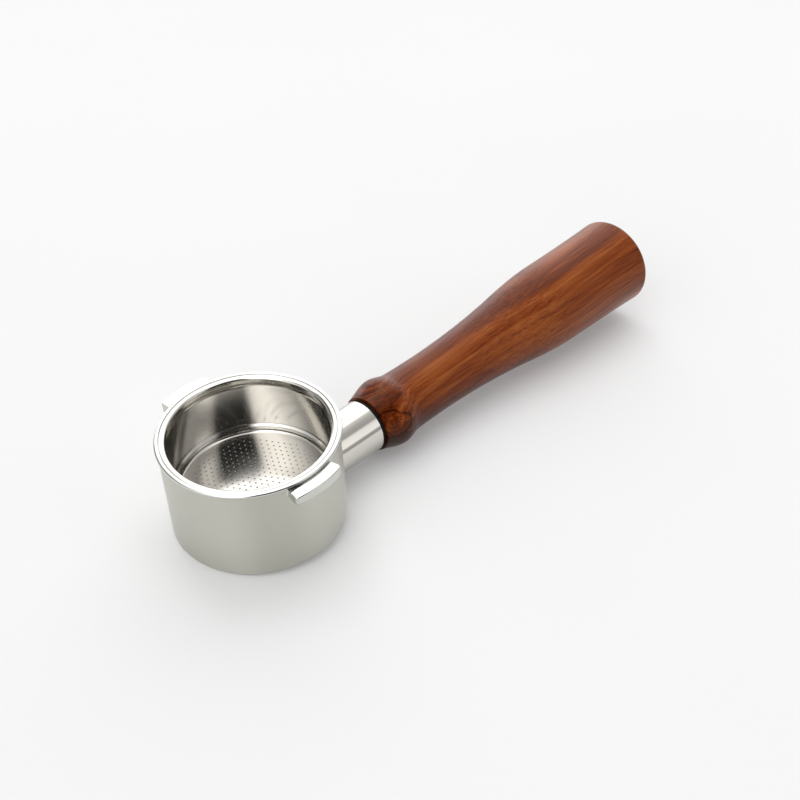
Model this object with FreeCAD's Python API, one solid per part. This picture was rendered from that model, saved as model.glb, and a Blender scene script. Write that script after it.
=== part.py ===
"""Bottomless portafilter, 54 mm class, with a turned wooden handle.

Every piece is drawn in the cup's own frame: the cup's axis is Z, its lower rim
lies in the plane Z = 0, and the handle points towards +X. At the end the whole
assembly is laid down as it rests on a counter, with +Z up: on the far edge of
the cup's lower rim and on the collar of the handle. Its origin is the centre
of the bottom face of its bounding box. All lengths are in millimetres.
"""
import FreeCAD
import Part
import math
import os

# ---- driving dimensions -------------------------------------------------
# cup ring
CUP_HEIGHT = 35.6
WALL_R = 29.4              # outside of the cup's wall
BORE_R = 27.6              # inside of the cup's wall
LIP_R = 30.2               # outside of the lip
LIP_HEIGHT = 1.15
SEAT_R = 28.75             # recess that the basket's flange lies in
SEAT_DEPTH = 0.9
FOOT_ROUND = 0.8           # outer edge of the lower rim
FOOT_CHAMFER = 0.3         # inner edge of the lower rim
GROOVE_R = 28.55           # bottom of the retaining spring's groove
GROOVE_TOP = 2.7           # below the top of the cup
GROOVE_HEIGHT = 1.2

# retaining spring
WIRE_R = 0.45
SPRING_R = 28.0            # middle of the wire
SPRING_GAP_DEG = 24.0      # opening between the two ends

# filter basket
SHEET = 0.6
BASKET_R = 26.7            # inside of the wall
FLANGE_R = 28.6
FLANGE_T = 0.8
BEAD_DEPTH = 0.2           # ridge that the retaining spring holds
BEAD_TOP = 2.5
BEAD_HEIGHT = 1.6
STEP_AT = 20.2             # depth where the wall steps in
STEP_R = 25.4              # inside of the narrower foot
FLOOR_AT = 23.0            # depth of the perforated floor
FOOT_BEND = 1.2            # bend between foot and floor
HOLE_R = 0.25
HOLE_PITCH = 2.15
HOLE_FIELD_R = 22.0

# locking lugs
LUG_R = 34.6
LUG_HALF_DEG = 16.15
LUG_TOP = 1.25             # below the top of the cup
LUG_HEIGHT = 3.6
LUG_EDGE = 0.45
LUG_RAMP = 0.5             # drop of the lead-in ramp
LUG_RAMP_LENGTH = 7.0

# neck; stations run along the handle's axis from the cup's axis
AXIS_HEIGHT = 6.2          # handle axis above the lower rim at the cup's axis
DROOP_DEG = 1.5            # handle axis below the plane of the cup
NECK_R = 9.75
NECK_END = 49.7
NECK_FILLET = 1.5
FILLET_LAND = 0.15         # trimmed off the thin upper edge of the fillet
NECK_CHAMFER = 0.4
HEEL_DEG = 40.0            # bevel under the neck, up to the lower rim
TAP_R = 5.0                # M10 tapped hole
TAP_DEPTH = 17.0

# washer, stud, threaded insert
WASHER_R = 9.35
WASHER_BORE_R = 5.4
WASHER_T = 1.3
STUD_R = 4.95
STUD_START = 34.0
STUD_END = 76.0
STUD_CHAMFER = 1.0
INSERT_R = 7.0
INSERT_START = 52.0
INSERT_LENGTH = 26.0
INSERT_RIB = 0.5           # ribs that grip the wood
INSERT_RIBS = 4

# wooden handle: (station, radius) along its axis
GRIP = [
    (51.0, 10.45), (54.0, 11.4), (57.4, 12.55), (60.0, 12.95), (62.4, 12.55),
    (65.2, 11.75), (68.6, 11.42), (76.0, 11.32), (84.6, 11.3), (96.6, 11.7),
    (108.7, 12.5), (120.8, 13.7), (133.0, 15.3), (145.0, 16.4), (160.0, 16.65),
    (174.0, 16.9), (182.0, 17.15), (188.6, 17.4),
]
GRIP_END_ROUND = 1.9
GRIP_END_DOME = 0.7
GRIP_BORE_R = 7.05
GRIP_BORE_END = 82.0


# ---- small helpers ------------------------------------------------------
def vec(x, y, z):
    return FreeCAD.Vector(x, y, z)


def flat(point):
    """Point of a profile in the XZ plane."""
    return vec(point[0], 0, point[1])


def line(start, end):
    return Part.LineSegment(flat(start), flat(end)).toShape()


def arc(start, middle, end):
    return Part.Arc(flat(start), flat(middle), flat(end)).toShape()


def outline(start, steps):
    """Closed wire from start through steps; a step is (end,) or (middle, end)."""
    edges = []
    here = start
    for step in steps:
        end = step[-1]
        if len(step) == 1:
            edges.append(line(here, end))
        else:
            edges.append(arc(here, step[0], end))
        here = end
    edges.append(line(here, start))
    return Part.Wire(edges)


def bend(centre, radius, degrees):
    """Point on a circle in a profile's plane."""
    angle = math.radians(degrees)
    return (centre[0] + radius * math.cos(angle), centre[1] + radius * math.sin(angle))


def turned(wire, axis):
    """Solid of revolution about an axis through the origin."""
    return Part.Face(wire).revolve(vec(0, 0, 0), axis, 360)


def cylinder_x(radius, start, end):
    return Part.makeCylinder(radius, end - start, vec(start, 0, 0), vec(1, 0, 0))


def on_handle_axis(shape):
    """Move a piece drawn along X onto the handle's axis."""
    placed = shape.copy()
    placed.rotate(vec(0, 0, 0), vec(0, 1, 0), DROOP_DEG)
    placed.translate(vec(0, 0, AXIS_HEIGHT))
    return placed


# ---- cup ----------------------------------------------------------------
def cup_ring():
    top = CUP_HEIGHT
    lip_round = 0.5 * LIP_HEIGHT
    lip_mid = (LIP_R - lip_round, top - lip_round)
    foot = (WALL_R - FOOT_ROUND, FOOT_ROUND)
    groove_top = top - GROOVE_TOP
    groove_low = groove_top - GROOVE_HEIGHT
    steps = [
        (bend(foot, FOOT_ROUND, -45), (WALL_R, FOOT_ROUND)),
        ((WALL_R, top - LIP_HEIGHT),),
        ((LIP_R - lip_round, top - LIP_HEIGHT),),
        (bend(lip_mid, lip_round, 0), (LIP_R - lip_round, top)),
        ((SEAT_R, top),),
        ((SEAT_R, top - SEAT_DEPTH),),
        ((BORE_R, top - SEAT_DEPTH),),
        ((BORE_R, groove_top),),
        ((GROOVE_R, groove_top),),
        ((GROOVE_R, groove_low),),
        ((BORE_R, groove_low),),
        ((BORE_R, FOOT_CHAMFER),),
        ((BORE_R + FOOT_CHAMFER, 0),),
    ]
    return turned(outline((WALL_R - FOOT_ROUND, 0), steps), vec(0, 0, 1))


def retaining_spring():
    middle = CUP_HEIGHT - GROOVE_TOP - GROOVE_HEIGHT + WIRE_R
    circle = Part.Circle(vec(SPRING_R, 0, middle), vec(0, 1, 0), WIRE_R).toShape()
    section = Part.Face(Part.Wire([circle]))
    spring = section.revolve(vec(0, 0, 0), vec(0, 0, 1), 360 - SPRING_GAP_DEG)
    spring.rotate(vec(0, 0, 0), vec(0, 0, 1), 180 + 0.5 * SPRING_GAP_DEG)
    return spring


def hole_centres():
    """Triangular grid of holes inside the round field."""
    row_step = HOLE_PITCH * math.sqrt(3) / 2
    rows = int(HOLE_FIELD_R / row_step) + 1
    centres = []
    for row in range(-rows, rows + 1):
        shift = 0.5 * HOLE_PITCH * (row % 2)
        for column in range(-rows, rows + 1):
            x = column * HOLE_PITCH + shift
            y = row * row_step
            if math.hypot(x, y) <= HOLE_FIELD_R:
                centres.append((x, y))
    return centres


def filter_basket():
    top = CUP_HEIGHT - SEAT_DEPTH + FLANGE_T
    rim = CUP_HEIGHT
    out = BASKET_R + SHEET
    bead_in = BASKET_R - BEAD_DEPTH
    slope = BEAD_DEPTH
    bead_top = rim - BEAD_TOP
    bead_low = bead_top - BEAD_HEIGHT
    step = rim - STEP_AT
    floor = rim - FLOOR_AT
    shoulder = BASKET_R - STEP_R
    foot = (STEP_R - FOOT_BEND, floor + FOOT_BEND)
    curl = (BASKET_R + FLANGE_T, top - FLANGE_T)
    inside = [
        ((foot[0], floor),),
        (bend(foot, FOOT_BEND, -45), (STEP_R, floor + FOOT_BEND)),
        ((STEP_R, step - shoulder),),
        ((BASKET_R, step),),
        ((BASKET_R, bead_low),),
        ((bead_in, bead_low + slope),),
        ((bead_in, bead_top - slope),),
        ((BASKET_R, bead_top),),
        ((BASKET_R, top - FLANGE_T),),
        (bend(curl, FLANGE_T, 135), (BASKET_R + FLANGE_T, top)),
    ]
    low = STEP_R + SHEET
    ease = 0.4 * SHEET
    outside = [
        ((FLANGE_R, top),),
        ((FLANGE_R, top - FLANGE_T),),
        ((out, top - FLANGE_T),),
        ((out, bead_top + ease),),
        ((bead_in + SHEET, bead_top - slope + ease),),
        ((bead_in + SHEET, bead_low + slope - ease),),
        ((out, bead_low - ease),),
        ((out, step - ease),),
        ((low, step - shoulder - ease),),
        ((low, floor + FOOT_BEND),),
        (bend(foot, FOOT_BEND + SHEET, -45), (foot[0], floor - SHEET)),
        ((0, floor - SHEET),),
    ]
    shell = turned(outline((0, floor), inside + outside), vec(0, 0, 1))
    holes = []
    for x, y in hole_centres():
        holes.append(Part.makeCylinder(HOLE_R, 3 * SHEET, vec(x, y, floor - 2 * SHEET)))
    return shell.cut(Part.makeCompound(holes))


def lug(direction_deg):
    """Curved block on the wall; its lead-in ramp is at the clockwise end."""
    top = CUP_HEIGHT - LUG_TOP
    low = top - LUG_HEIGHT
    sector = 2 * LUG_HALF_DEG
    block = Part.makeCylinder(LUG_R, LUG_HEIGHT, vec(0, 0, low), vec(0, 0, 1), sector)
    block = block.cut(Part.makeCylinder(WALL_R, 3 * LUG_HEIGHT, vec(0, 0, low - LUG_HEIGHT)))
    rounded = []
    for edge in block.Edges:
        centre = edge.CenterOfMass
        reach = math.hypot(centre.x, centre.y)
        if reach > 0.5 * (WALL_R + LUG_R) and centre.z < top - 0.1:
            rounded.append(edge)
    block = block.makeFillet(LUG_EDGE, rounded)
    tip_r = LUG_R + 2
    wedge = Part.Face(Part.makePolygon([
        vec(-1, 0, top + 1), vec(-1, 0, top - LUG_RAMP),
        vec(LUG_RAMP_LENGTH, 0, top), vec(LUG_RAMP_LENGTH, 0, top + 1),
        vec(-1, 0, top + 1),
    ])).extrude(vec(0, tip_r, 0))
    wedge.rotate(vec(0, 0, 0), vec(0, 0, 1), -90)
    block = block.cut(wedge)
    block.rotate(vec(0, 0, 0), vec(0, 0, 1), direction_deg - LUG_HALF_DEG)
    return block


# ---- neck and handle ----------------------------------------------------
def neck():
    bar = cylinder_x(NECK_R, 0, NECK_END)
    end_edges = [edge for edge in bar.Edges if abs(edge.CenterOfMass.x - NECK_END) < 0.01]
    bar = on_handle_axis(bar.makeChamfer(NECK_CHAMFER, end_edges))
    core = Part.makeCylinder(WALL_R, 4 * CUP_HEIGHT, vec(0, 0, -2 * CUP_HEIGHT))
    joined = core.fuse(bar)
    foot_edges = []
    for edge in joined.Edges:
        box = edge.BoundBox
        on_wall = box.XMax < WALL_R + 0.01 and box.XMin > 0.8 * WALL_R
        if on_wall and abs(edge.CenterOfMass.z - AXIS_HEIGHT) < NECK_R and box.ZLength < 3 * NECK_R:
            foot_edges.append(edge)
    piece = joined.makeFillet(NECK_FILLET, foot_edges).cut(core)
    tap = on_handle_axis(cylinder_x(TAP_R, NECK_END - TAP_DEPTH, NECK_END + 1))
    heel = Part.makeBox(60, 60, 60, vec(-20, -30, -60))
    heel.rotate(vec(0, 0, 0), vec(0, 1, 0), HEEL_DEG)
    heel.translate(vec(WALL_R, 0, 0))
    crest = Part.makeBox(60, 60, 60, vec(0, -30, piece.BoundBox.ZMax - FILLET_LAND))
    return piece.cut(tap).cut(heel).cut(crest)


def neck_washer():
    ring = cylinder_x(WASHER_R, NECK_END, NECK_END + WASHER_T)
    return on_handle_axis(ring.cut(cylinder_x(WASHER_BORE_R, 0, 2 * NECK_END)))


def threaded_stud():
    stud = cylinder_x(STUD_R, STUD_START, STUD_END)
    ends = [edge for edge in stud.Edges if edge.Curve.TypeId == "Part::GeomCircle"]
    return on_handle_axis(stud.makeChamfer(STUD_CHAMFER, ends))


def threaded_insert():
    end = INSERT_START + INSERT_LENGTH
    body = cylinder_x(INSERT_R - INSERT_RIB, INSERT_START, end)
    pitch = INSERT_LENGTH / (INSERT_RIBS + 0.5)
    for index in range(INSERT_RIBS + 1):
        start = INSERT_START + index * pitch
        body = body.fuse(cylinder_x(INSERT_R, start, start + 0.5 * pitch))
    return on_handle_axis(body.cut(cylinder_x(TAP_R, 0, 2 * end)))


def grip_curve():
    curve = Part.BSplineCurve()
    curve.interpolate([flat(point) for point in GRIP])
    return curve


def wooden_handle():
    first = GRIP[0]
    last = GRIP[-1]
    corner = (last[0], last[1] - GRIP_END_ROUND)
    face_x = last[0] + GRIP_END_ROUND
    rim = (face_x, corner[1])
    tip = (face_x + GRIP_END_DOME, 0)
    dome_r = (rim[1] ** 2 + GRIP_END_DOME ** 2) / (2 * GRIP_END_DOME)
    half = 0.5 * math.asin(rim[1] / dome_r)
    dome_mid = (tip[0] - dome_r + dome_r * math.cos(half), dome_r * math.sin(half))
    centre = (first[0], 0)
    edges = [
        grip_curve().toShape(),
        arc(last, bend(corner, GRIP_END_ROUND, 45), rim),
        arc(rim, dome_mid, tip),
        line(tip, centre),
        line(centre, first),
    ]
    grip = turned(Part.Wire(edges), vec(1, 0, 0))
    bore = cylinder_x(GRIP_BORE_R, first[0] - 1, GRIP_BORE_END)
    return on_handle_axis(grip.cut(bore))


# ---- laying the assembly down -------------------------------------------
def lowest_handle(tilt):
    """Depth of the handle's lowest point after turning by tilt (radians)."""
    droop = math.radians(DROOP_DEG)
    curve = grip_curve()
    deepest = 1e9
    for index in range(2001):
        point = curve.value(curve.FirstParameter
                            + (curve.LastParameter - curve.FirstParameter) * index / 2000)
        x = point.x * math.cos(droop) - point.z * math.sin(droop)
        z = AXIS_HEIGHT - point.x * math.sin(droop) - point.z * math.cos(droop)
        deepest = min(deepest, x * math.sin(tilt) + z * math.cos(tilt))
    return deepest


def lowest_cup(tilt):
    """Depth of the lower rim's far edge after turning by tilt (radians)."""
    x = -(WALL_R - FOOT_ROUND)
    return x * math.sin(tilt) + FOOT_ROUND * math.cos(tilt) - FOOT_ROUND


def resting_tilt():
    """Angle at which the far edge of the cup and the collar touch one plane."""
    low = 0.0
    high = math.radians(15)
    for _ in range(60):
        middle = 0.5 * (low + high)
        if lowest_handle(middle) < lowest_cup(middle):
            low = middle
        else:
            high = middle
    return 0.5 * (low + high)


def lay_down(pieces):
    tilt = resting_tilt()
    for name in pieces:
        pieces[name].rotate(vec(0, 0, 0), vec(0, 1, 0), -math.degrees(tilt))
    box = Part.makeCompound(list(pieces.values())).optimalBoundingBox(False, False)
    shift = vec(-0.5 * (box.XMin + box.XMax), 0, -lowest_cup(tilt))
    for name in pieces:
        pieces[name].translate(shift)
    print("tilt %.4f deg, shift %.4f %.4f %.4f" % (math.degrees(tilt), shift.x, shift.y, shift.z))
    print("size %.3f %.3f %.3f" % (box.XLength, box.YLength, box.ZLength))


def main():
    os.makedirs("parts", exist_ok=True)
    pieces = {
        "cup_ring": cup_ring(),
        "lug_front": lug(-90),
        "lug_rear": lug(90),
        "retaining_spring": retaining_spring(),
        "filter_basket": filter_basket(),
        "neck": neck(),
        "neck_washer": neck_washer(),
        "threaded_stud": threaded_stud(),
        "threaded_insert": threaded_insert(),
        "wooden_handle": wooden_handle(),
    }
    lay_down(pieces)
    for name, shape in pieces.items():
        solid = shape.Solids[0]
        print("%-17s solids %d valid %s volume %.1f" % (
            name, len(shape.Solids), shape.isValid(), shape.Volume))
        solid.exportStep("parts/" + name + ".step")


main()
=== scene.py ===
"""Looks of the bottomless portafilter: steel, wood, light and camera.

Sizes are in millimetres. The cup's pieces are made in the cup's own frame (axis Z,
lower rim at Z = 0, handle towards +X). The neck, the washer and the handle are made
along the handle's axis. Both frames are then laid down as the CAD model lies.
"""
import bpy
import bmesh
import math
from mathutils import Matrix, Vector
from mathutils.geometry import delaunay_2d_cdt


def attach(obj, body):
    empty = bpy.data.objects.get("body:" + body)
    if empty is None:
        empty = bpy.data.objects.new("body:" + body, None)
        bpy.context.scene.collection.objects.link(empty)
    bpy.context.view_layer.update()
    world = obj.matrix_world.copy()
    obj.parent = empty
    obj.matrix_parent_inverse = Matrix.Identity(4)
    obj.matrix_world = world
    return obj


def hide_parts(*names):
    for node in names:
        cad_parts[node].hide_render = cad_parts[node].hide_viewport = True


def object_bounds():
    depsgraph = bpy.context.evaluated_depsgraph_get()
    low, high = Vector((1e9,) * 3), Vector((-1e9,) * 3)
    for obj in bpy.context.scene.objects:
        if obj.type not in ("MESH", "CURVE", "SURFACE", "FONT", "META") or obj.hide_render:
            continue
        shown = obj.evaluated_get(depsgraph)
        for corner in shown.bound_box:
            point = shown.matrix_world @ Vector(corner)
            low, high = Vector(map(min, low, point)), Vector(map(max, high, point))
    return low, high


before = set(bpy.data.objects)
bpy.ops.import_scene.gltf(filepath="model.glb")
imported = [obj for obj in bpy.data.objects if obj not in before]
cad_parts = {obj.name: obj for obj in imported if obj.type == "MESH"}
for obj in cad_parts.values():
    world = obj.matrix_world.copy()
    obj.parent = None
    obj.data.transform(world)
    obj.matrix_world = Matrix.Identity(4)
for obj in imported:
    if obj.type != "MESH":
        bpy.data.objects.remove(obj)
cad_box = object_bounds()

MM = 0.001

# how the part lies: the cup's frame is tilted and shifted
TILT = math.radians(5.3948)
SHIFT = Vector((-78.6054, 0.0, 2.6925)) * MM
CUP = Matrix.Translation(SHIFT) @ Matrix.Rotation(-TILT, 4, "Y")

# cup
CUP_HEIGHT = 35.6
WALL_R = 29.4
WALL_LOOPS = (6, 18)            # heights of two extra edge loops on the plain wall
BORE_R = 27.6
LIP_R = 30.2
LIP_HEIGHT = 1.15
LIP_FILLET = 0.15               # in the corner under the lip
SEAT_R = 28.75
SEAT_DEPTH = 0.9
SEAT_EDGE = 0.12                # round from the lip down to the seat
FOOT_ROUND = 0.8
FOOT_CHAMFER = 0.3
GROOVE_R = 28.55
GROOVE_TOP = 2.7                # depth below the lip
GROOVE_HEIGHT = 1.2

# basket; depths are below the cup's lip
SHEET = 0.6
BASKET_R = 26.7
FLANGE_R = 28.6
FLANGE_T = 0.8
FLANGE_ROLL = 1.3               # width of the rolled inner edge
FLANGE_EDGE = 0.12              # round on the outer edge
BEAD_RISE = 0.12
BEAD_TOP = 2.5
BEAD_HEIGHT = 1.6
STEP_AT = 20.2
STEP_R = 25.75
STEP_BEND = 0.3
STEP_EASE = 0.12                # height of the bends' centres above the step's corners
FLOOR_AT = 23.0
FOOT_BEND = 1.2
HOLE_R = 0.25
HOLE_PITCH = 2.15
HOLE_FIELD_R = 22.0
HOLE_FLARE = 0.06               # broken upper edge of each hole
HOLE_SIDES = 12

# worked out from these: heights above the cup's lower rim (Z), and radii
FLANGE_Z = CUP_HEIGHT - SEAT_DEPTH + FLANGE_T
BEAD_TOP_Z = CUP_HEIGHT - BEAD_TOP
BEAD_LOW_Z = BEAD_TOP_Z - BEAD_HEIGHT
STEP_Z = CUP_HEIGHT - STEP_AT
PLATE_Z = CUP_HEIGHT - FLOOR_AT
SHOULDER = BASKET_R - STEP_R
BEAD_IN = BASKET_R - BEAD_RISE
BEAD_SLOPE = 2 * BEAD_RISE
FOOT_CENTRE = (STEP_R - FOOT_BEND, PLATE_Z + FOOT_BEND)

# handle; stations are measured along its axis from the cup's axis
AXIS_HEIGHT = 6.2
DROOP = math.radians(1.5)
HANDLE = (CUP @ Matrix.Translation(Vector((0, 0, AXIS_HEIGHT)) * MM)
          @ Matrix.Rotation(DROOP, 4, "Y"))
GRIP = [                        # station, radius
    (51.0, 10.45), (54.0, 11.4), (57.4, 12.55), (60.0, 12.95), (62.4, 12.55),
    (65.2, 11.75), (68.6, 11.42), (76.0, 11.32), (84.6, 11.3), (96.6, 11.7),
    (108.7, 12.5), (120.8, 13.7), (133.0, 15.3), (145.0, 16.4), (160.0, 16.65),
    (174.0, 16.9), (182.0, 17.15), (188.6, 17.4),
]
GRIP_INNER_LOOP = 7.05          # extra loop on the flat front face
GRIP_FRONT_EDGE = 0.5
GRIP_END_ROUND = 1.9
GRIP_END_DOME = 0.7
DOME_STEPS = 8
WASHER_R = 9.35
WASHER_BORE_R = 5.4
WASHER_T = 1.3
WASHER_EDGE = 0.2

# neck
NECK_R = 9.75
NECK_END = 49.7
NECK_FILLET = 1.5
NECK_BURIED = 0.5               # how far its start sits inside the cup's wall
NECK_CHAMFER = 0.4
HEEL = math.radians(40.0)
TAP_R = 5.0
TAP_DEPTH = 4

# locking lugs
LUG_R = 34.6
LUG_HALF_DEG = 16.15
LUG_TOP = 1.25
LUG_HEIGHT = 3.6
LUG_BURIED = 0.3                # how far a lug sits inside the cup's wall
LUG_EDGE = 0.7
LUG_CORNER = 1.2
LUG_CREST = 0.4
LUG_FILLET = 0.7
LUG_DRAFT = 0.25
LUG_RAMP = 0.5
LUG_RAMP_LENGTH = 7.0
LUG_STEPS = 40

# steel; colours are linear
POLISHED = (0.65, 0.645, 0.63)
POLISHED_SHARE = 0.35           # roughness of the polished part against the brushed one
POLISH_BLEND = 0.2              # height over which one finish gives way to the other
METAL_RELIEF = 0.02 * MM        # depth of the finest marks
WASHER_RELIEF = 0.04 * MM

# wood; stations along the handle, heights from its axis
KNOT = Vector((53.5, -11.0, 3.6)) * MM      # beside the handle's collar
KNOT_REACH = 13 * MM
KNOT_PUSH = 12 * MM                         # how far it bends the growth lines
LOOP_R = 5.2 * MM                           # dark line round the knot
LOOP_WIDTH = 0.5 * MM
SWAY = 5 * MM                               # how far the grain wanders sideways
HEART_PLACE = (0.0, 0.03, 0.05)             # the tree's heart runs beside the handle,
HEART_LEAN = (0.0, 0.03, -0.05)             # slightly out of line with it
COLLAR_FADE = (56 * MM, 78 * MM)            # where the collar's figure gives way
PAINTED_UNDERSIDE_SHADE = (6 * MM, -4 * MM)                # painted shade on the underside: where it begins and is full
PAINTED_UNDERSIDE_SHADE_FADE = (100 * MM, 140 * MM)        # where the painted underside shade gives way along the handle
FIBRE_STRETCH = 0.012                       # patterns run this much slower along the grain
WOOD_RELIEF = 0.06 * MM
WOOD_COLOURS = [
    (0.26, (0.014, 0.002, 0.001)), (0.40, (0.085, 0.012, 0.002)),
    (0.51, (0.190, 0.037, 0.006)), (0.66, (0.330, 0.096, 0.021)),
]

# floor
FLOOR_HALF = 4.0                # metres
FLOOR_SHADES = [(0.3, (0.583, 0.583, 0.583)), (0.7, (0.597, 0.597, 0.597))]
FLOOR_GLOW = 0.18               # lightens the shadows

# camera; azimuth and elevation in degrees, lengths in metres
CAMERA_AZ = -46.3
CAMERA_EL = 36.56
CAMERA_ROLL = math.radians(1.4)
CAMERA_AIM = Vector((-0.01752, -0.00524, 0.020))
CAMERA_DISTANCE = 0.4918
CAMERA_LENS = 63.0
CAMERA_SENSOR = 36.0
CAMERA_CLIP = 0.01

# key light; azimuth from the camera's side, elevation, distance in metres
KEY_PLACE = (-140, 60, 2.6)
KEY_AIM = Vector((-0.03, 0.0, 0.02))
KEY_SIZE = 0.8
KEY_POWER = 6.0

# Soft studio in four layers from the horizon up: brightness by azimuth from the
# camera's side. The dark stretches give the steel its dark bands.
SKIRT = [
    (-180, 2.0), (-140, 2.0), (-125, 0.5), (-62, 0.6), (-48, 1.2), (-30, 2.0),
    (-10, 1.6), (2, 0.05), (50, 0.05), (58, 0.5), (74, 0.45), (80, 0.45),
    (104, 0.5), (124, 0.5), (150, 2.0), (180, 2.0),
]
RING = [
    (-180, 1.9), (-147, 1.9), (-142, 0.15), (-125, 0.15), (-118, 0.4), (-98, 0.4),
    (-76, 0.8), (-62, 1.35), (-48, 1.75), (-34, 2.45), (-20, 2.4), (-8, 1.9),
    (2, 0.05), (8, 0.0), (50, 0.0), (60, 0.9), (70, 1.35), (82, 1.2),
    (90, 0.5), (104, 0.6), (128, 0.6), (147, 1.9), (180, 1.9),
]
DIM_FROM, DIM_TO, DIM_LEVEL = 55, 100, 0.5  # stretch dimmed above the ring
UPPER = [(angle, min(value, DIM_LEVEL) if DIM_FROM < angle < DIM_TO else value)
         for angle, value in RING]
CEILING = [
    (-180, 2.3), (-20, 2.3), (-5, 0.9), (50, 0.9), (62, 2.4), (80, 2.4),
    (100, 1.0), (128, 1.0), (150, 2.0), (180, 2.3),
]
RING_LOW, UPPER_LOW, CEILING_LOW = 13, 42, 62   # elevations where the layers meet
LAYER_BLEND = 0.035             # softness of those seams, as a sine of elevation
BRIGHTEST = 2.6                 # scale of the layers' ramps


# ---- mesh helpers -------------------------------------------------------
def arc(centre, radius, start, end, count=10):
    """Points on a circle from start to end degrees."""
    points = []
    for i in range(count + 1):
        angle = math.radians(start + (end - start) * i / count)
        points.append((centre[0] + radius * math.cos(angle), centre[1] + radius * math.sin(angle)))
    return points


def circle(centre, radius, count):
    """Evenly spaced points round a circle, the first one towards +X."""
    points = []
    for i in range(count):
        angle = 2 * math.pi * i / count
        points.append((centre[0] + radius * math.cos(angle), centre[1] + radius * math.sin(angle)))
    return points


def lathe(bm, profile, segments, axis="Z", closed=True):
    """Turns (radius, height) points round Z, or round X when axis is X."""
    rings = []
    for radius, height in profile:
        spots = circle((0, 0), radius, segments) if radius > 0 else [(0, 0)]
        ring = []
        for across in spots:
            point = (*across, height) if axis == "Z" else (height, *across)
            ring.append(bm.verts.new(Vector(point) * MM))
        rings.append(ring)
    pairs = list(zip(rings, rings[1:]))
    if closed:
        pairs.append((rings[-1], rings[0]))
    for a, b in pairs:
        for i in range(segments):
            j = (i + 1) % segments
            if len(a) == 1:
                bm.faces.new((a[0], b[j], b[i]))
            elif len(b) == 1:
                bm.faces.new((a[i], a[j], b[0]))
            else:
                bm.faces.new((a[i], a[j], b[j], b[i]))


def piece(name, bm, matrix, body, nodes, material, sharp_deg=32):
    """Finishes a bmesh as a named piece that stands for CAD nodes."""
    bmesh.ops.recalc_face_normals(bm, faces=bm.faces[:])
    mesh = bpy.data.meshes.new(name)
    bm.to_mesh(mesh)
    bm.free()
    mesh.shade_smooth()
    mesh.set_sharp_from_angle(angle=math.radians(sharp_deg))
    mesh.materials.append(material)
    obj = bpy.data.objects.new(name, mesh)
    bpy.context.scene.collection.objects.link(obj)
    obj.matrix_world = matrix
    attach(obj, body)
    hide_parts(*nodes)


# ---- material helpers ---------------------------------------------------
class Nodes:
    """Short way to wire the nodes of a material or of the world."""

    def __init__(self, owner):
        owner.use_nodes = True
        self.owner = owner
        self.tree = owner.node_tree

    def add(self, kind, inputs=None, **props):
        node = self.tree.nodes.new(kind)
        for key, value in props.items():
            setattr(node, key, value)
        for key, value in (inputs or {}).items():
            self.feed(node.inputs[key], value)
        return node

    def feed(self, socket, value):
        """Links a socket to another one, or gives it a constant."""
        if isinstance(value, bpy.types.NodeSocket):
            self.tree.links.new(value, socket)
        else:
            socket.default_value = value

    def set(self, **values):
        """Sets inputs of the material's own shader."""
        shader = self.tree.nodes["Principled BSDF"]
        for key, value in values.items():
            self.feed(shader.inputs[key.replace("_", " ")], value)

    def place(self):
        return self.add("ShaderNodeTexCoord").outputs["Object"]

    def axis(self, vector, name):
        return self.add("ShaderNodeSeparateXYZ", {0: vector}).outputs[name]

    def math(self, operation, a, b=0.0):
        return self.add("ShaderNodeMath", {0: a, 1: b}, operation=operation).outputs[0]

    def vector(self, operation, a, b=(0, 0, 0)):
        node = self.add("ShaderNodeVectorMath", {0: a, 1: b}, operation=operation)
        return node.outputs["Value"] if operation == "LENGTH" else node.outputs[0]

    def noise_node(self, vector, scale, detail, rough):
        inputs = {"Vector": vector, "Scale": scale, "Detail": detail, "Roughness": rough}
        return self.add("ShaderNodeTexNoise", inputs)

    def noise(self, vector, scale, detail=2.0, rough=0.5):
        return self.noise_node(vector, scale, detail, rough).outputs["Fac"]

    def ramp(self, factor, stops):
        node = self.add("ShaderNodeValToRGB", {"Fac": factor})
        elements = node.color_ramp.elements
        while len(elements) < len(stops):
            elements.new(0.5)
        for element, (place, colour) in zip(elements, stops):
            element.position = place
            element.color = (*colour, 1.0)
        return node.outputs["Color"]

    def remap(self, value, low, high, to_low, to_high):
        inputs = {"Value": value, "From Min": low, "From Max": high,
                  "To Min": to_low, "To Max": to_high}
        return self.add("ShaderNodeMapRange", inputs).outputs[0]

    def spread(self, noise, to_low, to_high):
        """Stretches the middle range of a noise, where most of it lies."""
        return self.remap(noise, 0.3, 0.7, to_low, to_high)

    def mix(self, factor, a, b):
        """Colour between a and b."""
        node = self.add("ShaderNodeMix", {0: factor, 6: a, 7: b}, data_type="RGBA")
        return node.outputs[2]

    def blend(self, factor, a, b):
        """Number between a and b."""
        return self.add("ShaderNodeMix", {0: factor, 2: a, 3: b}, data_type="FLOAT").outputs[0]

    def mottle(self, pattern, colour, darkest):
        """The colour, falling to a darker share of itself where the pattern is low."""
        low = (*[c * darkest for c in colour], 1)
        return self.mix(self.spread(pattern, 0.0, 1.0), low, (*colour, 1))

    def bump(self, height, strength, distance):
        inputs = {"Height": height, "Strength": strength, "Distance": distance}
        return self.add("ShaderNodeBump", inputs).outputs["Normal"]


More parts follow.
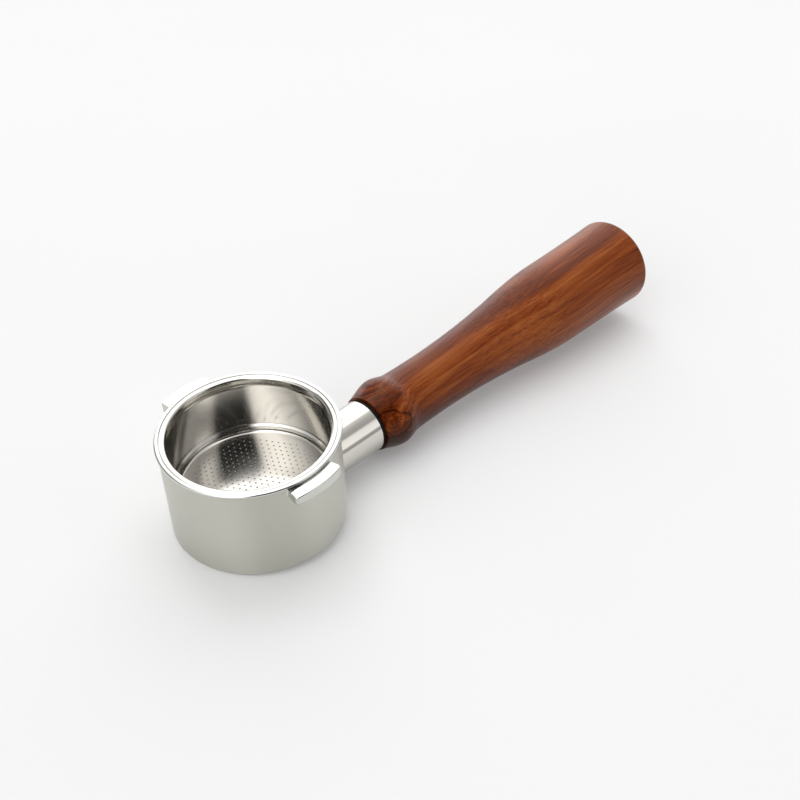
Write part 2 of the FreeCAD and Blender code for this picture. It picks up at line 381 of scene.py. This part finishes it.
# ---- materials ----------------------------------------------------------
def turned_steel(name, colour, roughness, anisotropy, grooves, polished_from=None):
    """Steel with fine marks running round its axis; smoother above a height."""
    n = Nodes(bpy.data.materials.new(name))
    place = n.place()
    height = n.axis(place, "Z")
    reach = n.vector("LENGTH", n.vector("MULTIPLY", place, (1, 1, 0)))
    across = n.add("ShaderNodeCombineXYZ", {0: reach, 1: height}).outputs[0]
    marks = n.noise(across, 9000.0, 3.0, 0.6)
    broad = n.noise(place, 60.0, 3.0, 0.55)
    tint = n.mottle(broad, colour, 0.97)
    swing = 3 * grooves
    gloss = n.math("ADD", n.spread(marks, roughness * (1 - swing), roughness * (1 + swing)),
                   n.spread(broad, -0.01, 0.01))
    if polished_from is not None:
        level = polished_from * MM
        polish = n.remap(height, level, level + POLISH_BLEND * MM, 0.0, 1.0)
        gloss = n.math("MULTIPLY", gloss, n.blend(polish, 1.0, POLISHED_SHARE))
        tint = n.mix(polish, tint, (*POLISHED, 1))
    n.set(Metallic=1.0, Anisotropic=anisotropy, Anisotropic_Rotation=0.25)
    n.set(Base_Color=tint, Roughness=gloss)
    n.set(Normal=n.bump(marks, grooves, METAL_RELIEF))
    n.set(Tangent=n.add("ShaderNodeTangent", direction_type="RADIAL", axis="Z").outputs[0])
    return n.owner


def plain_metal(name, colour, roughness):
    """Smooth metal whose colour and gloss vary a little."""
    n = Nodes(bpy.data.materials.new(name))
    place = n.place()
    broad = n.noise(place, 90.0, 4.0, 0.6)
    fine = n.noise(place, 2500.0, 2.0, 0.6)
    n.set(Metallic=1.0, Base_Color=n.mottle(broad, colour, 0.95))
    n.set(Roughness=n.spread(broad, roughness * 0.8, roughness * 1.25))
    n.set(Normal=n.bump(fine, 0.04, METAL_RELIEF))
    return n.owner


def swayed(n, vector, source, scale):
    """The vector, pushed softly to and fro across the grain."""
    field = n.noise_node(source, scale, 2.0, 0.5).outputs["Color"]
    centred = n.vector("SUBTRACT", field, (0.5, 0.5, 0.5))
    return n.vector("ADD", vector, n.vector("MULTIPLY", centred, (0.0, SWAY, SWAY)))


def stretched(n, vector, share):
    """The vector squeezed along the grain, so that patterns run long."""
    return n.vector("MULTIPLY", vector, (share, 1, 1))


def knot_marks(n, place, warped):
    """Strength of the knot, and of the dark line round it."""
    curled = swayed(n, warped, place, 160.0)
    near = n.vector("LENGTH", stretched(n, n.vector("SUBTRACT", curled, KNOT), 0.7))
    inside = n.remap(near, 0.0, KNOT_REACH, 1.0, 0.0)
    off_line = n.math("ABSOLUTE", n.math("SUBTRACT", near, LOOP_R))
    return n.math("MULTIPLY", inside, inside), n.remap(off_line, 0.0, LOOP_WIDTH, 1.0, 0.0)


def growth_lines(n, warped, knot):
    """Distance from the tree's leaning heart, bent round the knot."""
    lean = n.add("ShaderNodeMapping", {"Vector": warped, "Location": HEART_PLACE,
                                       "Rotation": HEART_LEAN}).outputs[0]
    heart = n.vector("LENGTH", n.vector("MULTIPLY", lean, (0, 1, 1)))
    bent = n.math("ADD", heart, n.math("MULTIPLY", knot, KNOT_PUSH))
    return n.add("ShaderNodeCombineXYZ", {0: bent}).outputs[0]


def rosewood():
    """Reddish-brown hardwood: fine fibres, dark bands, a knot at the collar, painted shade
    underneath.
    """
    n = Nodes(bpy.data.materials.new("rosewood"))
    place = n.place()
    along = n.axis(place, "X")
    warped = swayed(n, place, stretched(n, place, 0.4), 35.0)
    knot, loop = knot_marks(n, place, warped)
    growth = growth_lines(n, warped, knot)
    collar = n.remap(along, *COLLAR_FADE, 1.0, 0.0)
    # painted shade: the handle's underside is darkened, fading out along the handle
    painted_underside_shade = n.math("MULTIPLY", n.remap(n.axis(warped, "Z"), *PAINTED_UNDERSIDE_SHADE, 0.0, 1.0),
                      n.remap(along, *PAINTED_UNDERSIDE_SHADE_FADE, 1.0, 0.0))
    fibre = n.noise(stretched(n, place, FIBRE_STRETCH), 3200.0, 3.0, 0.6)
    bands = n.noise(growth, 300.0)
    fine_lines = n.noise(growth, 1500.0, 3.0, 0.6)
    streaks = n.noise(stretched(n, warped, FIBRE_STRETCH), 1100.0, 4.0, 0.6)
    patches = n.noise(stretched(n, place, 0.15), 75.0)
    patterns = [
        (bands, 0.42), (fine_lines, n.blend(collar, 0.14, 0.55)), (streaks, 0.28),
        (fibre, 0.30), (patches, 0.38),
    ]
    tone = 0.5
    for pattern, weight in patterns:
        part = n.math("MULTIPLY", n.math("SUBTRACT", pattern, 0.5), weight)
        tone = n.math("ADD", part, tone)
    # the last mark darkens the underside: painted shade
    for mark, depth in ((collar, 0.08), (loop, 0.20), (painted_underside_shade, 0.10)):
        tone = n.math("SUBTRACT", tone, n.math("MULTIPLY", mark, depth))
    n.set(Base_Color=n.ramp(tone, WOOD_COLOURS))
    n.set(Roughness=n.spread(fibre, 0.25, 0.33), Specular_IOR_Level=0.24)
    n.set(Specular_Tint=(1.0, 0.65, 0.45, 1.0))
    n.set(Normal=n.bump(fibre, 0.10, WOOD_RELIEF))
    return n.owner


def matt_black_ring():
    """Matt black of the ring in the gap between the neck and the wood."""
    n = Nodes(bpy.data.materials.new("black_washer"))
    grain = n.noise(n.place(), 1800.0, 3.0, 0.6)
    n.set(Base_Color=n.ramp(grain, [(0.3, (0.004, 0.004, 0.004)), (0.7, (0.010, 0.009, 0.008))]))
    n.set(Roughness=n.spread(grain, 0.55, 0.75), Specular_IOR_Level=0.2)
    n.set(Normal=n.bump(grain, 0.2, WASHER_RELIEF))
    return n.owner


CUP_STEEL = turned_steel("cup_steel", (0.58, 0.573, 0.513), 0.29, anisotropy=0.92, grooves=0.003,
                         polished_from=CUP_HEIGHT - LIP_HEIGHT - POLISH_BLEND)
BASKET_STEEL = turned_steel("basket_steel", (0.63, 0.61, 0.572), 0.14, anisotropy=0.85,
                            grooves=0.05)
NECK_STEEL = plain_metal("neck_steel", (0.665, 0.64, 0.595), 0.09)
LUG_STEEL = plain_metal("lug_steel", (0.62, 0.625, 0.58), 0.13)
WIRE_STEEL = plain_metal("wire_steel", (0.55, 0.55, 0.55), 0.3)
STUD_STEEL = plain_metal("stud_steel", (0.55, 0.55, 0.55), 0.3)
BRASS = plain_metal("brass", (0.72, 0.52, 0.22), 0.28)
WOOD = rosewood()
MATT_BLACK_RING = matt_black_ring()


# ---- cup and basket -----------------------------------------------------
def cup_ring():
    """Turned ring: wall, rounded lip, basket seat and the spring's groove."""
    top = CUP_HEIGHT
    lip_round = 0.5 * LIP_HEIGHT
    groove_top = top - GROOVE_TOP
    groove_low = groove_top - GROOVE_HEIGHT
    profile = arc((WALL_R - FOOT_ROUND, FOOT_ROUND), FOOT_ROUND, -90, 0)
    profile += [(WALL_R, height) for height in WALL_LOOPS]
    profile += arc((WALL_R + LIP_FILLET, top - LIP_HEIGHT - LIP_FILLET), LIP_FILLET, 180, 90, 4)
    profile += arc((LIP_R - lip_round, top - lip_round), lip_round, -90, 90, 20)
    profile += arc((SEAT_R + SEAT_EDGE, top - SEAT_EDGE), SEAT_EDGE, 90, 180, 5)
    profile += [(SEAT_R, top - SEAT_DEPTH), (BORE_R, top - SEAT_DEPTH)]
    profile += [(BORE_R, groove_top), (GROOVE_R, groove_top)]
    profile += [(GROOVE_R, groove_low), (BORE_R, groove_low)]
    profile += [(BORE_R, FOOT_CHAMFER), (BORE_R + FOOT_CHAMFER, 0)]
    bm = bmesh.new()
    lathe(bm, profile, 288)
    piece("cup_body", bm, CUP, "holder", ["cup_ring"], CUP_STEEL)


def hole_centres():
    """Triangular grid of holes inside the round field."""
    row_step = HOLE_PITCH * math.sqrt(3) / 2
    rows = int(HOLE_FIELD_R / row_step) + 1
    centres = []
    for row in range(-rows, rows + 1):
        shift = 0.5 * HOLE_PITCH * (row % 2)
        for column in range(-rows, rows + 1):
            x = column * HOLE_PITCH + shift
            y = row * row_step
            if math.hypot(x, y) <= HOLE_FIELD_R:
                centres.append((x, y))
    return centres


def plate_between(rings):
    """Flat triangles inside the first ring and outside the others, the holes."""
    points = []
    loops = []
    for ring in rings:
        first = len(points)
        count = len(ring)
        points += [Vector(spot) for spot in ring]
        loops.append([(first + i, first + (i + 1) % count) for i in range(count)])
    edges = [edge for loop in loops for edge in loop]
    inside_only = 1
    flat, _, triangles, _, _, _ = delaunay_2d_cdt(points, edges, [], inside_only, 1e-7)
    holes = loops[1:]
    owner = {a: number for number, loop in enumerate(holes) for a, _ in loop}
    # a triangle with all its corners on one hole lies in that hole
    faces = [tri for tri in triangles if len({owner.get(i, -1 - i) for i in tri}) > 1]
    return flat, faces, holes


def perforated_plate(bm, radius, height, segments):
    """Flat disc with the strainer's holes, each with a broken upper edge."""
    centres = hole_centres()
    rings = [circle((0.0, 0.0), radius, segments)]
    rings += [circle(centre, HOLE_R + HOLE_FLARE, HOLE_SIDES) for centre in centres]
    flat, faces, holes = plate_between(rings)
    upper = [bm.verts.new(Vector((p.x, p.y, height)) * MM) for p in flat]
    narrow = {}
    for centre, loop in zip(centres, holes):
        for (a, _), spot in zip(loop, circle(centre, HOLE_R, HOLE_SIDES)):
            narrow[a] = spot
    ledge = {a: bm.verts.new(Vector((*spot, height - HOLE_FLARE)) * MM)
             for a, spot in narrow.items()}
    under = []
    for i, p in enumerate(flat):
        spot = narrow.get(i, (p.x, p.y))
        under.append(bm.verts.new(Vector((*spot, height - SHEET)) * MM))
    for face in faces:
        bm.faces.new([upper[i] for i in face])
        bm.faces.new([under[i] for i in reversed(face)])
    for loop in holes:
        for a, b in loop:
            bm.faces.new((upper[a], upper[b], ledge[b], ledge[a]))
            bm.faces.new((ledge[a], ledge[b], under[b], under[a]))


def basket_inside():
    """Outline of the basket's inner skin, from the floor up to the flange."""
    points = [(FOOT_CENTRE[0], PLATE_Z)] + arc(FOOT_CENTRE, FOOT_BEND, -90, 0, 12)[1:]
    points += arc((STEP_R + STEP_BEND, STEP_Z - SHOULDER + STEP_EASE), STEP_BEND, 180, 135, 4)
    points += arc((BASKET_R - STEP_BEND, STEP_Z + STEP_EASE), STEP_BEND, -45, 0, 4)
    points += [(BASKET_R, BEAD_LOW_Z), (BEAD_IN, BEAD_LOW_Z + BEAD_SLOPE)]
    points += [(BEAD_IN, BEAD_TOP_Z - BEAD_SLOPE), (BASKET_R, BEAD_TOP_Z)]
    for across, up in arc((0, 0), 1.0, 180, 90, 12):
        points.append((BASKET_R + FLANGE_ROLL * (1 + across), FLANGE_Z + FLANGE_T * (up - 1)))
    return points


def basket_outside():
    """Outline of the basket's outer skin, from the flange down to the floor."""
    wall = BASKET_R + SHEET
    bead = BEAD_IN + SHEET
    ease = 0.4 * SHEET
    points = arc((FLANGE_R - FLANGE_EDGE, FLANGE_Z - FLANGE_EDGE), FLANGE_EDGE, 90, 0, 4)
    points += [(FLANGE_R, FLANGE_Z - FLANGE_T), (wall, FLANGE_Z - FLANGE_T)]
    points += [(wall, BEAD_TOP_Z + ease), (bead, BEAD_TOP_Z - BEAD_SLOPE + ease)]
    points += [(bead, BEAD_LOW_Z + BEAD_SLOPE - ease), (wall, BEAD_LOW_Z - ease)]
    points += [(wall, STEP_Z - ease), (STEP_R + SHEET, STEP_Z - SHOULDER - ease)]
    return points + arc(FOOT_CENTRE, FOOT_BEND + SHEET, 0, -90, 10)


def filter_basket():
    """Drawn sheet basket with its perforated floor."""
    segments = 240
    bm = bmesh.new()
    lathe(bm, basket_inside() + basket_outside(), segments, closed=False)
    perforated_plate(bm, FOOT_CENTRE[0], PLATE_Z, segments)
    # joins the floor to the skins
    bmesh.ops.remove_doubles(bm, verts=bm.verts[:], dist=2e-6)
    piece("strainer", bm, CUP, "basket", ["filter_basket"], BASKET_STEEL, 28)


# ---- handle -------------------------------------------------------------
def smooth_curve(points, steps=6):
    """Catmull-Rom curve through the points."""
    ends = [points[0]] + points + [points[-1]]
    curve = []
    for a, b, c, d in zip(ends, ends[1:], ends[2:], ends[3:]):
        for s in range(steps):
            t = s / steps
            point = []
            for k in (0, 1):
                point.append(0.5 * (2 * b[k] + (c[k] - a[k]) * t
                                    + (2 * a[k] - 5 * b[k] + 4 * c[k] - d[k]) * t * t
                                    + (3 * b[k] - a[k] - 3 * c[k] + d[k]) * t ** 3))
            curve.append(tuple(point))
    curve.append(points[-1])
    return curve


def wooden_handle():
    """Turned grip with a collar in front and a slightly domed end."""
    front, front_r = GRIP[0]
    last, last_r = GRIP[-1]
    edge = last_r - GRIP_END_ROUND
    profile = [(0.0, front), (GRIP_INNER_LOOP, front), (front_r - GRIP_FRONT_EDGE, front)]
    profile += [(radius, station) for station, radius in smooth_curve(GRIP)]
    rounding = arc((last, edge), GRIP_END_ROUND, 90, 0, 10)
    profile += [(radius, station) for station, radius in rounding[1:]]
    for i in range(1, DOME_STEPS + 1):
        share = 1 - i / DOME_STEPS
        profile.append((edge * share, last + GRIP_END_ROUND + GRIP_END_DOME * (1 - share * share)))
    bm = bmesh.new()
    lathe(bm, profile, 192, "X", closed=False)
    piece("grip", bm, HANDLE, "holder", ["wooden_handle"], WOOD, 40)


def washer():
    """Black ring between the neck and the wood."""
    low, high = NECK_END, NECK_END + WASHER_T
    rim = WASHER_R - WASHER_EDGE
    profile = [(WASHER_BORE_R, low), (rim, low), (WASHER_R, low + WASHER_EDGE)]
    profile += [(WASHER_R, high - WASHER_EDGE), (rim, high), (WASHER_BORE_R, high)]
    bm = bmesh.new()
    lathe(bm, profile, 128, "X")
    piece("black_ring", bm, HANDLE, "holder", ["neck_washer"], MATT_BLACK_RING)


def saddle(radial, angle, gap):
    """Station where a line along the handle comes within gap of the cup's wall."""
    side = radial * math.cos(angle)
    lift = radial * math.sin(angle)
    reach = math.sqrt((WALL_R + gap) ** 2 - side ** 2)
    return (reach - lift * math.sin(DROOP)) / math.cos(DROOP)


def neck_rings(angles):
    """Rings of (station, radius, angle) from inside the cup's wall to the tapped hole."""
    fillet = 10
    starts = [((NECK_R + NECK_FILLET) * share, -NECK_BURIED) for share in (0.1, 0.4, 0.7, 1.0)]
    for i in range(fillet + 1):
        turn = 0.5 * math.pi * (1 - i / fillet)
        starts.append((NECK_R + NECK_FILLET * (1 - math.cos(turn)),
                       NECK_FILLET * (1 - math.sin(turn))))
    rings = [[(saddle(radial, a, gap), radial, a) for a in angles] for radial, gap in starts]
    last = rings[-1]
    end = NECK_END - NECK_CHAMFER
    for share in (0.2, 0.5, 0.8, 1.0):
        rings.append([(s + (end - s) * share, NECK_R, a) for s, _, a in last])
    mouth = [(NECK_END, NECK_R - NECK_CHAMFER), (NECK_END, TAP_R), (NECK_END - TAP_DEPTH, TAP_R)]
    for station, radial in mouth:
        rings.append([(station, radial, a) for a in angles])
    return rings


def cut_heel(bm):
    """Bevels the underside of the neck up to the cup's lower rim and caps the openings."""
    to_handle = HANDLE.inverted() @ CUP
    spot = to_handle @ (Vector((WALL_R, 0, 0)) * MM)
    way = to_handle.to_3x3() @ Vector((math.sin(HEEL), 0, math.cos(HEEL)))
    everything = bm.verts[:] + bm.edges[:] + bm.faces[:]
    bmesh.ops.bisect_plane(bm, geom=everything, dist=1e-7, plane_co=spot, plane_no=way,
                           clear_inner=True)
    openings = [edge for edge in bm.edges if edge.is_boundary]
    bmesh.ops.holes_fill(bm, edges=openings, sides=0)


def neck():
    """Round neck that flares into the cup's wall."""
    sides = 144
    angles = [2 * math.pi * i / sides for i in range(sides)]
    bm = bmesh.new()
    made = []
    for ring in neck_rings(angles):
        made.append([bm.verts.new(Vector((s, r * math.cos(a), r * math.sin(a))) * MM)
                     for s, r, a in ring])
    for low, high in zip(made, made[1:]):
        for i in range(sides):
            j = (i + 1) % sides
            bm.faces.new((low[i], low[j], high[j], high[i]))
    cut_heel(bm)
    piece("steel_neck", bm, HANDLE, "holder", ["neck"], NECK_STEEL, 30)


def lug_path():
    """Lug's outline from above: (run along the wall, reach from the cup's axis)."""
    span = 2 * math.radians(LUG_HALF_DEG) * LUG_R
    end = [(-LUG_DRAFT - LUG_FILLET + run, WALL_R + LUG_FILLET + rise)
           for run, rise in arc((0, 0), LUG_FILLET, -90, 0, 6)]
    end += [(LUG_CORNER + run, LUG_R - LUG_CORNER + rise)
            for run, rise in arc((0, 0), LUG_CORNER, 180, 90, 8)]
    middle = [(LUG_CORNER + (span - 2 * LUG_CORNER) * i / LUG_STEPS, LUG_R)
              for i in range(1, LUG_STEPS)]
    return end + middle + [(span - run, reach) for run, reach in reversed(end)]


def lug(name, node, direction):
    """Curved block on the wall with a lead-in ramp at its clockwise end."""
    top = CUP_HEIGHT - LUG_TOP
    low = top - LUG_HEIGHT
    inner = WALL_R - LUG_BURIED
    bm = bmesh.new()
    sections = []
    for run, reach in lug_path():
        crest = top - LUG_RAMP * max(0.0, 1 - max(run, 0) / LUG_RAMP_LENGTH) ** 2
        angle = direction - math.radians(LUG_HALF_DEG) + run / LUG_R
        outline = [(inner, low)] + arc((reach - LUG_EDGE, low + LUG_EDGE), LUG_EDGE, -90, 0, 6)
        outline += arc((reach - LUG_CREST, crest - LUG_CREST), LUG_CREST, 0, 90, 5)
        outline += [(inner, crest)]
        section = []
        for r, z in outline:
            point = Vector((r * math.cos(angle), r * math.sin(angle), z))
            section.append(bm.verts.new(point * MM))
        sections.append(section)
    for a, b in zip(sections, sections[1:]):
        for i in range(len(a)):
            j = (i + 1) % len(a)
            bm.faces.new((a[i], a[j], b[j], b[i]))
    bm.faces.new(sections[0])
    bm.faces.new(list(reversed(sections[-1])))
    piece(name, bm, CUP, "holder", [node], LUG_STEEL, 30)


def dress(node, material):
    """Gives a CAD node its material."""
    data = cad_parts[node].data
    data.materials.clear()
    data.materials.append(material)


cup_ring()
filter_basket()
wooden_handle()
washer()
neck()
lug("front_lug", "lug_front", math.radians(-90))
lug("rear_lug", "lug_rear", math.radians(90))
dress("retaining_spring", WIRE_STEEL)
dress("threaded_stud", STUD_STEEL)
dress("threaded_insert", BRASS)


# ---- floor, light and camera --------------------------------------------
def pale_floor():
    """Plain matt floor under the part, with a faint painted glow of its own that lightens the
    shadows.
    """
    n = Nodes(bpy.data.materials.new("pale_floor"))
    grain = n.noise(n.place(), 4.0)
    n.set(Base_Color=n.ramp(grain, FLOOR_SHADES), Roughness=0.9)
    # painted light: the floor's own faint glow lightens its shadows
    n.set(Emission_Color=(1, 1, 1, 1), Emission_Strength=FLOOR_GLOW)
    bm = bmesh.new()
    bmesh.ops.create_grid(bm, x_segments=8, y_segments=8, size=FLOOR_HALF)
    mesh = bpy.data.meshes.new("floor")
    bm.to_mesh(mesh)
    bm.free()
    mesh.materials.append(n.owner)
    obj = bpy.data.objects.new("floor", mesh)
    bpy.context.scene.collection.objects.link(obj)
    obj.location.z = cad_box[0].z


def around(azimuth, elevation, distance, centre):
    """Point seen from the centre at an azimuth, 0 being the camera's side."""
    a, e = math.radians(azimuth + CAMERA_AZ), math.radians(elevation)
    way = Vector((math.sin(a) * math.cos(e), -math.cos(a) * math.cos(e), math.sin(e)))
    return centre + way * distance


def aimed(name, data, place, target):
    """Object at a place, looking at the target."""
    obj = bpy.data.objects.new(name, data)
    bpy.context.scene.collection.objects.link(obj)
    obj.location = place
    obj.rotation_mode = "QUATERNION"
    obj.rotation_quaternion = (target - place).to_track_quat("-Z", "Y")
    return obj


def camera():
    """Camera on the part, rolled slightly about its own axis."""
    data = bpy.data.cameras.new("camera")
    data.lens = CAMERA_LENS
    data.sensor_width = CAMERA_SENSOR
    data.clip_start = CAMERA_CLIP
    place = around(0, CAMERA_EL, CAMERA_DISTANCE, CAMERA_AIM)
    obj = aimed("camera", data, place, CAMERA_AIM)
    look = obj.rotation_quaternion.to_matrix()
    obj.rotation_quaternion = (look @ Matrix.Rotation(CAMERA_ROLL, 3, "Z")).to_quaternion()
    bpy.context.scene.camera = obj


def key_light():
    """Soft square light above and behind the part."""
    data = bpy.data.lights.new("key", "AREA")
    data.size = KEY_SIZE
    data.energy = KEY_POWER
    aimed("key", data, around(*KEY_PLACE, KEY_AIM), KEY_AIM)


def layer_stops(layer):
    """Stops of a ramp that runs once round the horizon."""
    return [((angle + 180) / 360, (value / BRIGHTEST,) * 3) for angle, value in layer]


def studio():
    """World light: four layers of brightness that change with the azimuth."""
    world = bpy.data.worlds.new("studio")
    bpy.context.scene.world = world
    n = Nodes(world)
    way = n.add("ShaderNodeTexCoord").outputs["Generated"]
    x, y, z = n.add("ShaderNodeSeparateXYZ", {0: way}).outputs
    azimuth = n.math("ARCTAN2", x, n.math("MULTIPLY", y, -1.0))
    turned = n.math("SUBTRACT", azimuth, math.radians(CAMERA_AZ))
    share = n.math("FRACT", n.math("ADD", n.math("DIVIDE", turned, 2 * math.pi), 1.5))
    value = n.math("MULTIPLY", n.ramp(share, layer_stops(SKIRT)), BRIGHTEST)
    for layer, bottom in ((RING, RING_LOW), (UPPER, UPPER_LOW), (CEILING, CEILING_LOW)):
        level = math.sin(math.radians(bottom))
        above = n.remap(z, level - LAYER_BLEND, level + LAYER_BLEND, 0.0, 1.0)
        bright = n.math("MULTIPLY", n.ramp(share, layer_stops(layer)), BRIGHTEST)
        value = n.blend(above, value, bright)
    back = n.tree.nodes["Background"]
    back.inputs["Color"].default_value = (1.0, 1.0, 1.0, 1)
    n.feed(back.inputs["Strength"], value)


pale_floor()
camera()
studio()
key_light()
bpy.context.scene.view_settings.view_transform = "Standard"
